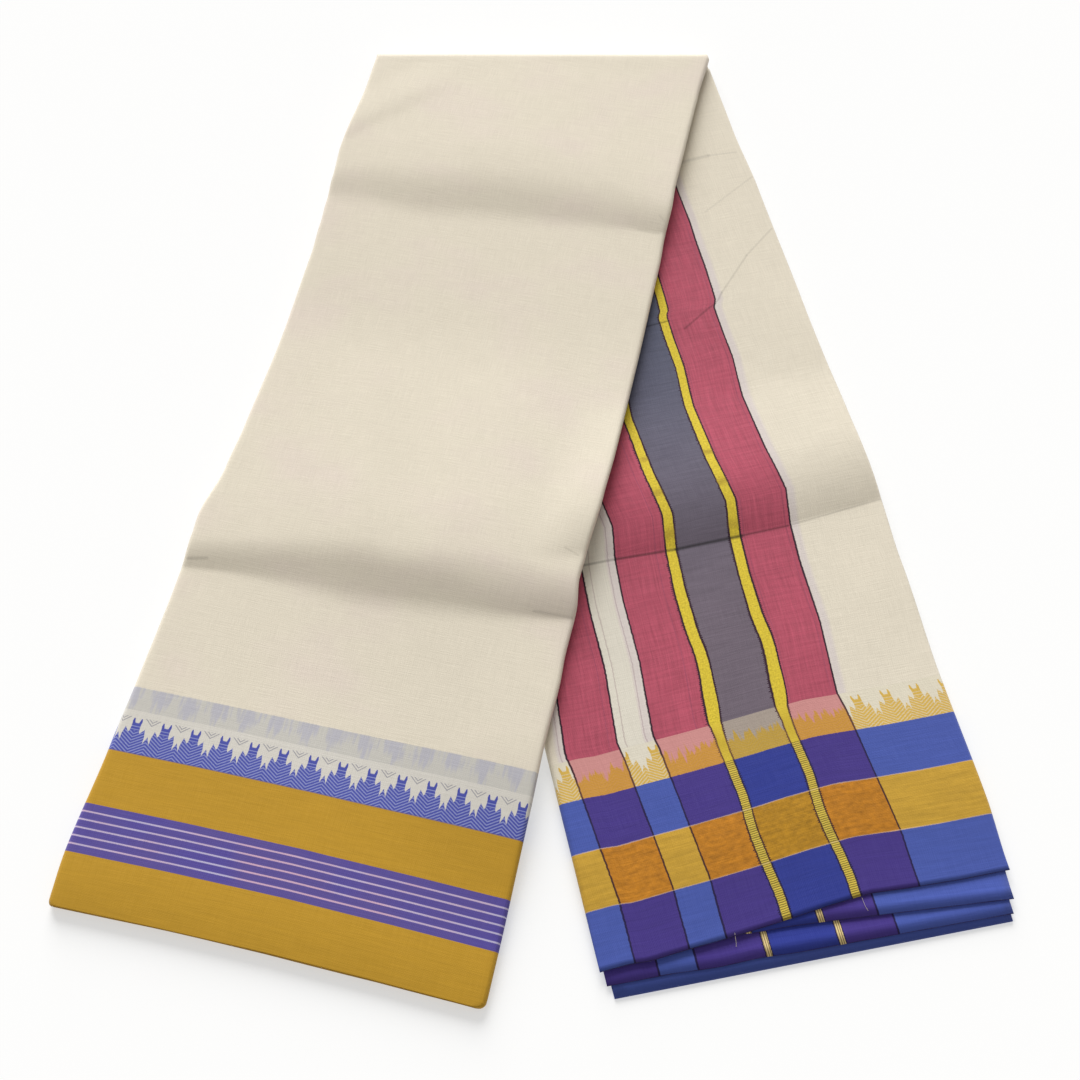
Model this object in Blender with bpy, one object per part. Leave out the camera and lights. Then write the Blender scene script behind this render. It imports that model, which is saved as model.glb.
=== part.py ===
"""A plain woven dhoti, folded lengthwise into a long flat strip and turned over once at its middle.

Metres, +Z up, +Y away from the two selvedge ends. The strip lies as an inverted V: the front leg leans to
the left and lies on top of the back leg, which leans to the right. Heights are measured from the surface
that the cloth lies on. The whole is shifted at the end, so that the origin is the middle of its underside.
"""

import math

import bmesh
import bpy
from mathutils import Vector

# Cloth and fold
WALL = 0.0012  # one stretch of cloth that shows
GAP = 0.0003  # between stretches that lie on each other
OVER_GAP = 0.0006  # between the two legs, whose grids run in different directions
STACK = 0.0065  # height of one leg, sixteen layers of cotton with the air between them
LEG_LIFT = STACK + OVER_GAP  # underside of the front leg where it lies on the back leg
TURN_HEIGHT = LEG_LIFT + STACK
TURN_RADIUS = TURN_HEIGHT / 2
TURN_WIDTH = 0.2352  # along the turn, which is slanted across the strip
TURN_REACH = 0.0056  # from the middle of the turn's silhouette to the line where the legs begin
OVERHANG = 0.012  # how far the front leg stays up past the back leg's left edge
RAMP = 0.110  # over which it then comes down to the surface
CROTCH_Y = -0.505  # where the two legs part, measured from the turn's middle
CROTCH_RAMP = 0.130  # over which the front leg comes down beyond that
TURN_LIP = 0.0015  # the layer round the turn ends this far in beneath it
PANEL_FIRST = 0.018  # share of the way at which a panel's rounded selvedge has ended
PANEL_LAST = {"front": 0.985, "back": 0.982}  # share of the way at its last row before the turn
CORE_INSET = 0.0017  # the hidden layers stay this far inside the outline

# Each leg runs from the turn to its selvedge: lean and tilt in degrees, the tilt being that of its end line
LEGS = {
    "front": {"side": -1, "lean": 13.34, "length": 0.6348, "end_width": 0.2380, "tilt": 13.07},
    "back": {"side": 1, "lean": 13.06, "length": 0.6147, "end_width": 0.2271, "tilt": 13.70},
}

# How far the leg's edges stand out from straight lines, in metres. Share runs from the selvedge to the turn
EDGES = {
    "front": {
        "columns": ("share", "left", "right"),
        "rows": (
            (0.00, 0.0000, 0.0000),
            (0.05, 0.0022, 0.0004),
            (0.15, 0.0007, 0.0000),
            (0.34, -0.0014, -0.0016),
            (0.39, 0.0006, -0.0022),
            (0.45, -0.0045, 0.0004),
            (0.60, -0.0070, 0.0026),
            (0.72, -0.0060, 0.0014),
            (0.76, -0.0045, -0.0026),
            (0.82, -0.0020, -0.0012),
            (0.87, -0.0002, -0.0008),
            (0.95, -0.0012, 0.0000),
            (1.00, 0.0000, 0.0000),
        ),
    },
    "back": {
        "columns": ("share", "left", "right"),
        "rows": (
            (0.00, 0.0000, 0.0000),
            (0.07, 0.0000, 0.0029),
            (0.19, 0.0000, 0.0018),
            (0.32, 0.0000, 0.0040),
            (0.40, 0.0000, 0.0070),
            (0.50, 0.0000, 0.0060),
            (0.64, 0.0000, 0.0032),
            (0.81, 0.0000, 0.0018),
            (0.90, 0.0000, -0.0004),
            (1.00, 0.0000, 0.0000),
        ),
    },
}

# Pressed creases across the legs, from their left to their right point, measured from the turn's middle.
# Above the line the cloth stands up in a soft ridge that falls to the line
CREASES = {
    "columns": ("leg", "left_x", "left_y", "right_x", "right_y", "bow", "height", "reach"),
    "rows": (
        ("front", -0.1440, -0.1205, 0.0760, -0.1650, 0.0180, 0.0024, 0.060),
        ("front", -0.2110, -0.3910, 0.0190, -0.4370, 0.0050, 0.0028, 0.060),
        ("back", 0.0100, -0.3980, 0.2035, -0.3530, 0.0000, 0.0018, 0.045),
    ),
}
RIDGE_PEAK = 4 / 27  # the highest value of part * (1 - part) ** 2, a third of the way up from the line
CREASE_FADE = 0.016  # over which a crease of the back leg dies away beneath the front leg

# Layers that peek out below the striped panel at the back leg's end, lowest last: how far each end passes the
# panel's end on its left and right, and how far its sides stay inside the leg's edges there
STEPS = {
    "columns": ("name", "floor", "height", "left_reach", "right_reach", "left_inset", "right_inset"),
    "rows": (
        ("back_step_upper", 0.0038, 0.0012, 0.0012, 0.0160, 0.0034, 0.0034),
        ("back_step_lower", 0.0023, 0.0012, 0.0077, 0.0225, 0.0020, 0.0061),
        ("back_bottom", 0.0000, 0.0020, 0.0139, 0.0262, 0.0043, 0.0074),
    ),
}
STEP_INSET = 0.0034  # the sides of those layers, where they begin
STEP_DEPTH = 0.075  # how far those layers reach in under the panel, where the hidden layers begin
CORE_FIRST = {"front": 0.0022, "back": STEP_DEPTH + GAP}  # the hidden layers' distance from the selvedge

# Edges of a panel: distance in from the edge and drop below the top, both as shares of the rounding
EDGE_ROUND = 0.0026
ROUND_STEPS = ((1.0, 0.0), (0.35, 0.25), (0.0, 1.0))
SIDE_LIPS = {"front": (0.0042, 0.0030), "back": (0.0028, 0.0030)}  # left and right, below the top
END_LIPS = {"front": 0.0030, "back": 0.0000}
THIN_LIP = 0.25  # share of its depth that the back panel's lip has at the selvedge, above the stepped layers
LIP_REACH = 0.08  # share of the way over which one whole depth is added to it
END_DROOP = {"front": 0.0012, "back": 0.0000}  # the stack thins towards its selvedge
DROOP_REACH = 0.025

# Folded edges of the hidden layers, three groups: share of the core's height, and how far in they lie
LAYER_LEVELS = (
    (0.00, 0.0004),
    (0.27, 0.0000),
    (0.33, 0.0009),
    (0.39, 0.0000),
    (0.60, 0.0000),
    (0.66, 0.0009),
    (0.72, 0.0000),
    (1.00, 0.0014),
)

INNER_COLUMNS = {"front": 13, "back": 8}  # between the rounded edges, the same in panel and core
EVEN_ROWS = {"front": 24, "back": 13}
RIDGE_ROWS = (-0.12, 0.0, 0.1, 0.23, 0.4, 0.65, 1.0)  # shares of a crease's reach above its line
ROW_ROOM = 0.012  # least share between a row of one kind and the next
CREASE_BEND = 0.14  # share to either side of a crease over which the rows follow its line
HALVINGS = 30  # in the search for a crease's share of the way
TURN_ROWS = 7
TURN_FLARE = 0.25  # the hidden layers' corners spread this share of their bulge into the turn
STEP_GRID = (8, 3)  # divisions along and across a stepped layer
SHARP_DEGREES = 50
WELD = 1e-6

CLOTH = {  # base colour of each stretch, linear
    "front_panel": (0.74, 0.69, 0.58),
    "front_core": (0.70, 0.65, 0.55),
    "back_panel": (0.47, 0.11, 0.17),
    "back_core": (0.66, 0.62, 0.53),
    "back_step_upper": (0.10, 0.14, 0.50),
    "back_step_lower": (0.08, 0.08, 0.38),
    "back_bottom": (0.06, 0.11, 0.46),
}
CLOTH_ROUGHNESS = 0.9


def records(table):
    """A short table's rows as dictionaries, by the names of its columns."""
    return [dict(zip(table["columns"], row)) for row in table["rows"]]


def ease(x):
    x = min(max(x, 0.0), 1.0)
    return x * x * (3 - 2 * x)


def between(rows, share, column):
    """The column's value at a share, eased from row to row."""
    for low, high in zip(rows, rows[1:]):
        if share <= high["share"]:
            part = ease((share - low["share"]) / (high["share"] - low["share"]))
            return low[column] + (high[column] - low[column]) * part
    return rows[-1][column]


def leg_corners(leg):
    """The end's left and right corner, and the turn's, seen from above."""
    values = LEGS[leg]
    lean = math.radians(values["lean"])
    tilt = math.radians(values["tilt"]) * values["side"]
    end = Vector((values["side"] * math.sin(lean), -math.cos(lean))) * values["length"]
    end.y -= TURN_REACH
    half = Vector((math.cos(tilt), math.sin(tilt))) * values["end_width"] / 2
    turn_half = Vector((TURN_WIDTH / 2, 0))
    turn = Vector((0, -TURN_REACH))
    return end - half, end + half, turn - turn_half, turn + turn_half


def leg_edges(leg, share):
    """Left and right edge points at a share of the way from the selvedge to the turn."""
    end_left, end_right, turn_left, turn_right = leg_corners(leg)
    rows = records(EDGES[leg])
    points = []
    for start, stop, outward, column in (
        (end_left, turn_left, 1, "left"),
        (end_right, turn_right, -1, "right"),
    ):
        way = stop - start
        normal = Vector((-way.y, way.x)).normalized() * outward
        points.append(start + way * share + normal * between(rows, share, column))
    return points


def edge_of_back(x, y):
    """Distance of a point to the left of the back leg's left edge."""
    end_left, _, turn_left, _ = leg_corners("back")
    way = (turn_left - end_left).normalized()
    return Vector((-way.y, way.x)).dot(Vector((x, y)) - end_left)


def edge_of_front(x, y):
    """Distance of a point to the right of the front leg's right edge."""
    _, end_right, _, turn_right = leg_corners("front")
    way = (turn_right - end_right).normalized()
    return Vector((way.y, -way.x)).dot(Vector((x, y)) - end_right)


def crease_distance(crease, x, y):
    """How far a point lies above the crease's bowed line."""
    run = crease["right_x"] - crease["left_x"]
    part = (x - crease["left_x"]) / run
    line = crease["left_y"] + (crease["right_y"] - crease["left_y"]) * part
    line += crease["bow"] * 4 * part * (1 - part)
    return y - line


def crease_height(leg, x, y):
    total = 0.0
    for crease in records(CREASES):
        if crease["leg"] != leg:
            continue
        part = crease_distance(crease, x, y) / crease["reach"]
        if not 0 < part < 1:
            continue
        height = crease["height"] * part * (1 - part) ** 2 / RIDGE_PEAK
        if leg == "back":
            height *= ease(1 + edge_of_front(x, y) / CREASE_FADE)
        total += height
    return total


def end_drop(leg, share):
    along = share * LEGS[leg]["length"]
    return END_DROOP[leg] * (1 - min(along / DROOP_REACH, 1)) ** 2


def top_of(leg, share, x, y):
    """Height of the leg's upper surface."""
    if leg == "back":
        return STACK + crease_height("back", x, y) - end_drop("back", share)
    return floor_of("front", x, y) + STACK + crease_height("front", x, y) - end_drop("front", share)


def floor_of(leg, x, y):
    """Height of the leg's underside: the surface, or the leg that it lies on."""
    if leg == "back":
        return 0.0
    part = 1 - ease((edge_of_back(x, y) - OVERHANG) / RAMP)
    part *= 1 - ease((CROTCH_Y - y) / CROTCH_RAMP)
    return (LEG_LIFT + crease_height("back", x, y)) * part


def crease_shares(leg):
    """For each crease of the leg, its share of the way at the left edge, the middle and the right edge."""
    found = []
    for crease in records(CREASES):
        if crease["leg"] != leg:
            continue
        shares = []
        for across in (0.0, 0.5, 1.0):
            low, high = 0.0, 1.0
            for _ in range(HALVINGS):
                middle = (low + high) / 2
                left, right = leg_edges(leg, middle)
                point = left.lerp(right, across)
                if crease_distance(crease, point.x, point.y) < 0:
                    low = middle
                else:
                    high = middle
            shares.append(low)
        found.append((shares, crease["reach"] / LEGS[leg]["length"]))
    return found


def row_share(leg, share, across, creases):
    """Rows near a crease follow its line, so that its sharp foot falls on an edge of the mesh."""
    bent = share
    for (left, middle, right), _ in creases:
        weight = max(0.0, 1 - abs(share - middle) / CREASE_BEND)
        bow = middle - (left + right) / 2
        path = left + (right - left) * across + bow * 4 * across * (1 - across)
        bent += weight * (path - middle)
    return bent


def row_shares(leg, creases):
    """Shares of the rows: the same even ones in panel and core, and closer ones on each crease's ridge."""
    count = EVEN_ROWS[leg]
    shares = {i / count for i in range(1, count)}
    for (_, middle, _), reach in creases:
        close = [middle + reach * step for step in RIDGE_ROWS]
        shares = {share for share in shares if not close[0] - ROW_ROOM < share < close[-1] + ROW_ROOM}
        shares |= set(close)
    first, last = PANEL_FIRST, PANEL_LAST[leg]
    inner = [share for share in shares if first + ROW_ROOM < share < last - ROW_ROOM]
    return [first, *sorted(inner), last]


def columns_across(leg, width, lip_share):
    """Distance from the left edge and drop below the top, for each column of a panel."""
    count = INNER_COLUMNS[leg]
    edges = []
    for lip in SIDE_LIPS[leg]:
        edge = [(0.0, lip * lip_share)]
        edge += [(EDGE_ROUND * inward, EDGE_ROUND * down * lip_share) for inward, down in ROUND_STEPS[::-1]]
        edges.append(edge)
    middle = [(width * (i + 1) / (count + 1), 0.0) for i in range(count)]
    return edges[0] + middle + [(width - inward, down) for inward, down in edges[1][::-1]]


def panel_rows(leg, creases):
    """Share and drop of each row of a panel, its selvedge first, turned down where nothing lies beneath."""
    length = LEGS[leg]["length"]
    lip = END_LIPS[leg]
    rows = [(0.0, lip)]
    if lip:
        rows += [(EDGE_ROUND * inward / length, EDGE_ROUND * down) for inward, down in ROUND_STEPS[::-1]]
    rows += [(share, 0.0) for share in row_shares(leg, creases)]
    return rows


def panel_mesh(leg, with_turn):
    """The outermost layer of a leg as one sheet with turned down edges, round the turn where it shows."""
    creases = crease_shares(leg)
    rows = panel_rows(leg, creases)
    bm = bmesh.new()
    grid = []
    for share, end_fall in rows:
        left, right = leg_edges(leg, share)
        width = (right - left).length
        lip_share = 1.0 if leg == "front" else min(1.0, THIN_LIP + share / LIP_REACH)
        line = []
        for distance, fall in columns_across(leg, width, lip_share):
            across = distance / width
            bent = row_share(leg, share, across, creases)
            left, right = leg_edges(leg, bent)
            point = left.lerp(right, across)
            drop = min(fall + end_fall, max(SIDE_LIPS[leg]))
            height = top_of(leg, share, point.x, point.y) - drop
            line.append(bm.verts.new((point.x, point.y, height)))
        grid.append(line)
    if with_turn:
        left, right = leg_edges(leg, 1.0)
        width = (right - left).length
        for i in range(TURN_ROWS + 2):
            angle = math.pi * min(i / TURN_ROWS, 1)
            beneath = TURN_LIP if i > TURN_ROWS else 0.0
            line = []
            for distance, fall in columns_across(leg, width, 1.0):
                radius = TURN_RADIUS - fall
                height = TURN_RADIUS + radius * math.cos(angle)
                y = left.y + radius * math.sin(angle) - beneath
                line.append(bm.verts.new((left.x + distance, y, height)))
            grid.append(line)
    for low, high in zip(grid, grid[1:]):
        for i in range(len(low) - 1):
            bm.faces.new((low[i], low[i + 1], high[i + 1], high[i]))
    bmesh.ops.remove_doubles(bm, verts=bm.verts, dist=WELD)
    return bm


def core_mesh(leg):
    """The hidden layers of a leg as one rounded solid, in groups of layers at its edges."""
    creases = crease_shares(leg)
    length = LEGS[leg]["length"]
    first = CORE_FIRST[leg] / length
    shares = [first, *(share for share in row_shares(leg, creases) if share > first + ROW_ROOM), 1.0]
    count = INNER_COLUMNS[leg] + 2
    inner_radius = TURN_RADIUS - WALL - GAP

    def point(row, column, inset):
        share = shares[row]
        if row == 0:
            share += inset / length
        across = column / (count - 1)
        width = (leg_edges(leg, share)[1] - leg_edges(leg, share)[0]).length
        edge = (CORE_INSET + inset) / width
        across = min(max(across, edge), 1 - edge)
        bent = row_share(leg, share, across, creases) if row else share
        left, right = leg_edges(leg, bent)
        return left.lerp(right, across), share

    def place(row, column, level, inset):
        spot, share = point(row, column, inset)
        floor = floor_of(leg, spot.x, spot.y)
        roof = top_of(leg, share, spot.x, spot.y) - WALL - GAP
        height = floor + (roof - floor) * level
        if row == len(shares) - 1:
            side = (column == 0) - (column == count - 1)
            radius = inner_radius - CORE_INSET * abs(side)
            reach = radius**2 - (height - TURN_RADIUS) ** 2
            bulge = math.sqrt(reach) if reach > 0 else -TURN_LIP - GAP
            spot += Vector((side * abs(bulge) * TURN_FLARE, bulge))
        return spot.x, spot.y, height

    bm = bmesh.new()
    top_level, top_inset = LAYER_LEVELS[-1]
    low_level, low_inset = LAYER_LEVELS[0]
    grids = []
    for level, inset in ((low_level, low_inset), (top_level, top_inset)):
        grids.append(
            [
                [bm.verts.new(place(row, column, level, inset)) for column in range(count)]
                for row in range(len(shares))
            ]
        )
    rim = [(0, i) for i in range(count)]
    rim += [(i, count - 1) for i in range(1, len(shares))]
    rim += [(len(shares) - 1, i) for i in range(count - 2, -1, -1)]
    rim += [(i, 0) for i in range(len(shares) - 2, 0, -1)]
    loops = [[grids[0][row][column] for row, column in rim]]
    for level, inset in LAYER_LEVELS[1:-1]:
        loops.append([bm.verts.new(place(row, column, level, inset)) for row, column in rim])
    loops.append([grids[1][row][column] for row, column in rim])
    for grid in grids:
        for low, high in zip(grid, grid[1:]):
            for i in range(count - 1):
                bm.faces.new((low[i], low[i + 1], high[i + 1], high[i]))
    for low, high in zip(loops, loops[1:]):
        for i in range(len(rim)):
            after = (i + 1) % len(rim)
            bm.faces.new((low[i], low[after], high[after], high[i]))
    bmesh.ops.recalc_face_normals(bm, faces=bm.faces)
    return bm


def step_mesh(step):
    """One flat layer at the back leg's end, from its selvedge to where the hidden layers begin."""
    values = LEGS["back"]
    lean = math.radians(values["lean"])
    along = Vector((math.sin(lean), -math.cos(lean)))
    inner_share = STEP_DEPTH / values["length"]
    end_left, end_right = leg_edges("back", 0.0)
    inner_left, inner_right = leg_edges("back", inner_share)
    across = (end_right - end_left).normalized()
    corners = (
        end_left + along * step["left_reach"] + across * step["left_inset"],
        end_right + along * step["right_reach"] - across * step["right_inset"],
        inner_right - across * STEP_INSET,
        inner_left + across * STEP_INSET,
    )
    bm = bmesh.new()
    bmesh.ops.create_grid(bm, x_segments=STEP_GRID[0], y_segments=STEP_GRID[1], size=0.5)
    for vert in bm.verts:
        u, v = vert.co.x + 0.5, vert.co.y + 0.5
        low = corners[0].lerp(corners[1], u)
        high = corners[3].lerp(corners[2], u)
        spot = low.lerp(high, v)
        vert.co = (spot.x, spot.y, step["floor"] + step["height"])
    return bm


def add_object(name, bm, wall):
    mesh = bpy.data.meshes.new(name)
    bm.to_mesh(mesh)
    bm.free()
    material = bpy.data.materials.new(name)
    material.use_nodes = True
    surface = material.node_tree.nodes["Principled BSDF"]
    surface.inputs["Base Color"].default_value = (*CLOTH[name], 1)
    surface.inputs["Roughness"].default_value = CLOTH_ROUGHNESS
    surface.inputs["Metallic"].default_value = 0
    mesh.materials.append(material)
    mesh.shade_smooth()
    mesh.set_sharp_from_angle(angle=math.radians(SHARP_DEGREES))
    obj = bpy.data.objects.new(name, mesh)
    bpy.context.scene.collection.objects.link(obj)
    if wall:
        solidify = obj.modifiers.new("Cloth wall", "SOLIDIFY")
        solidify.thickness = wall
        solidify.offset = -1
        solidify.use_even_offset = True
    return obj


def rest_on_origin(objects):
    """Shifts every mesh so that the middle of the underside is the origin."""
    points = [vert.co for obj in objects for vert in obj.data.vertices]
    low = Vector(min(point[i] for point in points) for i in range(3))
    high = Vector(max(point[i] for point in points) for i in range(3))
    shift = Vector((-(low.x + high.x) / 2, -(low.y + high.y) / 2, 0))
    for obj in objects:
        for vert in obj.data.vertices:
            vert.co += shift
    print(f"turn's middle at {shift.x:.5f}, {shift.y:.5f}; box {high - low}")


def main():
    for obj in list(bpy.data.objects):
        bpy.data.objects.remove(obj, do_unlink=True)
    objects = [
        add_object("front_panel", panel_mesh("front", True), WALL),
        add_object("front_core", core_mesh("front"), None),
        add_object("back_panel", panel_mesh("back", False), WALL),
        add_object("back_core", core_mesh("back"), None),
    ]
    for step in records(STEPS):
        objects.append(add_object(step["name"], step_mesh(step), step["height"]))
    rest_on_origin(objects)


main()
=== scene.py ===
import math

import bmesh
import bpy
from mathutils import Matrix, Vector, noise


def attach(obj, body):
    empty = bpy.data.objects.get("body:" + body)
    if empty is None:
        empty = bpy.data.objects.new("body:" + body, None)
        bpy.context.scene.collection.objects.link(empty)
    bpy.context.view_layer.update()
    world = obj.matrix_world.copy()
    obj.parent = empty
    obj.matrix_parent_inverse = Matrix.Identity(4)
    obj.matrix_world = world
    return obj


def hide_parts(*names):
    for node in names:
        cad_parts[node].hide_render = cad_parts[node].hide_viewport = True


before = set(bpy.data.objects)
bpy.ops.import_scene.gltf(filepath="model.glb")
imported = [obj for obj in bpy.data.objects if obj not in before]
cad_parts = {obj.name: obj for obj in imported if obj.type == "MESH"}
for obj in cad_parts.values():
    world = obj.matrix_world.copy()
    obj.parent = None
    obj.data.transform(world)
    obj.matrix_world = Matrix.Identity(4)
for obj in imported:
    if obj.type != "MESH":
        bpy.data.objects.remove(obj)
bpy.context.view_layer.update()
print("frame loaded")

# The folded strip as the part has it, in metres and degrees from the middle of the turn
strip = {
    "shift": (0.00642, 0.32458),  # from the turn's middle to the part's origin
    "stack": 0.0065,  # height of one leg
    "lift": 0.0071,  # underside of the front leg where it lies on the back leg
    "turnWidth": 0.2352,
    "turnReach": 0.0056,
    "overhang": 0.012,  # the front leg stays up this far past the back leg
    "ramp": 0.110,  # and comes down over this
    "crotchY": -0.505,  # where the legs part
    "crotchRamp": 0.130,
    "edgeRound": 0.0026,
    "droop": 0.0012,  # the front leg's end is thinner
    "droopReach": 0.025,
    "creaseFade": 0.040,
    "settled": 0.32,  # the back leg's end is this share thinner
    "endFade": 0.06,  # what belongs to a leg's end fades over this
    "corner": 0.0042,  # rounding of the front end's corners
    "waist": 0.0012,  # the edges draw in this far round the turn
    "creaseBend": 0.14,  # rows this share from a crease still follow it
}
turnRadius = (strip["lift"] + strip["stack"]) / 2

legs = {
    "front": {"side": -1, "lean": 13.34, "length": 0.6348, "endWidth": 0.2380, "tilt": 13.07},
    "back": {"side": 1, "lean": 13.06, "length": 0.6147, "endWidth": 0.2271, "tilt": 13.70},
}

# Share of the way from the selvedge, then how far the left and right edge stand out there, in millimetres
edgeRows = {
    "front": (
        (0.00, 0.8, 0.0),
        (0.05, 2.2, 0.0),
        (0.15, 0.3, -0.6),
        (0.22, -0.6, -1.4),
        (0.27, -1.0, -0.9),
        (0.30, -1.1, -1.8),
        (0.34, -0.8, -1.4),
        (0.37, -0.1, -3.8),
        (0.39, 0.6, -3.2),
        (0.45, -4.5, -1.2),
        (0.50, -5.9, -0.4),
        (0.60, -7.0, -0.5),
        (0.72, -6.0, -1.2),
        (0.76, -4.5, -2.3),
        (0.79, -3.2, -2.0),
        (0.82, -1.8, -3.0),
        (0.87, 0.6, -2.8),
        (0.95, -1.0, -2.6),
        (1.00, 0.0, -1.2),
    ),
    "back": (
        (0.00, 0.0, -0.6),
        (0.07, 0.0, 1.5),
        (0.19, 0.0, 1.0),
        (0.32, 0.0, 3.4),
        (0.40, 0.0, 5.5),
        (0.50, 0.0, 4.5),
        (0.64, 0.0, 3.1),
        (0.81, 0.0, 1.9),
        (0.90, 0.0, -0.4),
        (1.00, 0.0, -0.8),
    ),
}

# Pressed creases: the cloth rises above each line, steepest near its foot, and falls back slowly. Each row is
# a point of the line, then the level there, how far the foot is rounded, and where the steep part and the
# rise end
creases = (
    {"leg": "front", "height": 0.0047, "reach": 0.165, "rows": (
        (-0.144, -0.1235, 0.45, 0.007, 0.008, 0.022),
        (-0.122, -0.1273, 0.55, 0.009, 0.010, 0.026),
        (-0.082, -0.1385, 0.85, 0.010, 0.014, 0.034),
        (-0.042, -0.1406, 0.93, 0.010, 0.014, 0.036),
        (-0.002, -0.1456, 0.92, 0.010, 0.012, 0.036),
        (0.037, -0.1512, 0.82, 0.008, 0.008, 0.034),
        (0.063, -0.1560, 0.78, 0.003, 0.004, 0.030),
        (0.076, -0.1590, 0.74, 0.002, 0.003, 0.026),
    )},
    {"leg": "front", "height": 0.0076, "reach": 0.200, "rows": (
        (-0.211, -0.3985, 0.42, 0.002, 0.005, 0.018),
        (-0.183, -0.4012, 0.52, 0.003, 0.006, 0.021),
        (-0.141, -0.4079, 0.72, 0.008, 0.012, 0.027),
        (-0.112, -0.4160, 0.96, 0.010, 0.016, 0.034),
        (-0.083, -0.4217, 0.90, 0.009, 0.015, 0.030),
        (-0.054, -0.4261, 0.97, 0.009, 0.012, 0.034),
        (-0.025, -0.4313, 0.93, 0.006, 0.006, 0.036),
        (0.003, -0.4345, 0.84, 0.002, 0.003, 0.030),
        (0.019, -0.4355, 0.78, 0.002, 0.003, 0.027),
    )},
    {"leg": "front", "height": 0.0007, "reach": 0.040, "rows": (
        (-0.140, -0.0840, 1.0, 0.003, 0.004, 0.014),
        (-0.125, -0.0747, 1.0, 0.003, 0.004, 0.014),
        (-0.090, -0.0520, 0.8, 0.003, 0.004, 0.014),
        (-0.050, -0.0300, 0.0, 0.003, 0.004, 0.014),
    )},
    {"leg": "back", "height": 0.0042, "reach": 0.110, "rows": (
        (0.010, -0.3985, 0.9, 0.0015, 0.002, 0.036),
        (0.042, -0.3924, 0.9, 0.0015, 0.002, 0.036),
        (0.078, -0.3862, 1.0, 0.0015, 0.002, 0.036),
        (0.116, -0.3775, 1.0, 0.0015, 0.002, 0.036),
        (0.145, -0.3709, 1.0, 0.0015, 0.002, 0.036),
        (0.165, -0.3644, 1.0, 0.0015, 0.002, 0.036),
        (0.183, -0.3594, 1.0, 0.0015, 0.002, 0.036),
        (0.204, -0.3520, 1.0, 0.0015, 0.002, 0.036),
    )},
)


def ease(x):
    x = min(max(x, 0.0), 1.0)
    return x * x * (3 - 2 * x)


# Value of a short table at a place, eased or straight from row to row
def between(rows, place, column=1, eased=False):
    if place <= rows[0][0]:
        return rows[0][column]
    for low, high in zip(rows, rows[1:]):
        if place <= high[0]:
            part = (place - low[0]) / (high[0] - low[0])
            part = ease(part) if eased else part
            return low[column] + (high[column] - low[column]) * part
    return rows[-1][column]


# End left, end right, turn left, turn right, seen from above
def cornersOf(leg):
    values = legs[leg]
    lean = math.radians(values["lean"])
    tilt = math.radians(values["tilt"]) * values["side"]
    end = Vector((values["side"] * math.sin(lean), -math.cos(lean))) * values["length"]
    end.y -= strip["turnReach"]
    half = Vector((math.cos(tilt), math.sin(tilt))) * values["endWidth"] / 2
    turn = Vector((0, -strip["turnReach"]))
    turnHalf = Vector((strip["turnWidth"] / 2, 0))
    return end - half, end + half, turn - turnHalf, turn + turnHalf


corners = {leg: cornersOf(leg) for leg in legs}


def edgesOf(leg, share):
    endLeft, endRight, turnLeft, turnRight = corners[leg]
    points = []
    for start, stop, outward, column in ((endLeft, turnLeft, 1, 1), (endRight, turnRight, -1, 2)):
        way = stop - start
        normal = Vector((-way.y, way.x)).normalized() * outward
        standing = between(edgeRows[leg], share, column, eased=True) / 1000
        points.append(start + way * share + normal * standing)
    return points


# Distance of a point from a leg's straight edge, outward
def pastEdge(leg, x, y):
    endLeft, endRight, turnLeft, turnRight = corners[leg]
    if leg == "back":
        way = (turnLeft - endLeft).normalized()
        return Vector((-way.y, way.x)).dot(Vector((x, y)) - endLeft)
    way = (turnRight - endRight).normalized()
    return Vector((way.y, -way.x)).dot(Vector((x, y)) - endRight)


def aboveCrease(crease, x, y):
    return y - between(crease["rows"], x)


# Share of the area under straight lines from row to row, up to a place
def filled(rows, place):
    done = total = 0.0
    for (low, first), (high, last) in zip(rows, rows[1:]):
        total += (high - low) * (first + last) / 2
        reached = min(max(place - low, 0.0), high - low)
        done += reached * (first + (last - first) / (high - low) * reached / 2)
    return done / total


def ridge(leg, x, y):
    total = 0.0
    for crease in creases:
        away = aboveCrease(crease, x, y)
        if crease["leg"] != leg or not -0.02 < away < crease["reach"]:
            continue
        level, foot, hold, top = (between(crease["rows"], x, column) for column in (2, 3, 4, 5))
        left = crease["reach"] - top
        risen = filled(((-foot, 0), (foot * 0.3, 1), (max(hold, foot * 0.4), 1), (top, 0)), away)
        fallen = filled(((top, 0), (top + left * 0.2, 1), (top + left * 0.75, 1), (crease["reach"], 0)), away)
        height = crease["height"] * level * (risen - fallen)
        if leg == "back":
            height *= ease(1 + pastEdge("front", x, y) / strip["creaseFade"])
        total += height
    return total


# What the front leg lies on
def floorUnder(x, y):
    part = 1 - ease((pastEdge("back", x, y) - strip["overhang"]) / strip["ramp"])
    part *= 1 - ease((strip["crotchY"] - y) / strip["crotchRamp"])
    return (strip["lift"] + ridge("back", x, y)) * part


# Each crease's share of the way at the left edge, the middle and the right edge
def creaseSharesOf(leg):
    found = []
    for crease in creases:
        if crease["leg"] != leg or crease["height"] < 0.001:
            continue
        shares = []
        for across in (0.0, 0.5, 1.0):
            low, high = 0.0, 1.0
            for _ in range(30):
                middle = (low + high) / 2
                left, right = edgesOf(leg, middle)
                point = left.lerp(right, across)
                if aboveCrease(crease, point.x, point.y) < 0:
                    low = middle
                else:
                    high = middle
            shares.append(low)
        found.append(shares)
    return found


creaseShares = {leg: creaseSharesOf(leg) for leg in legs}


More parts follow.
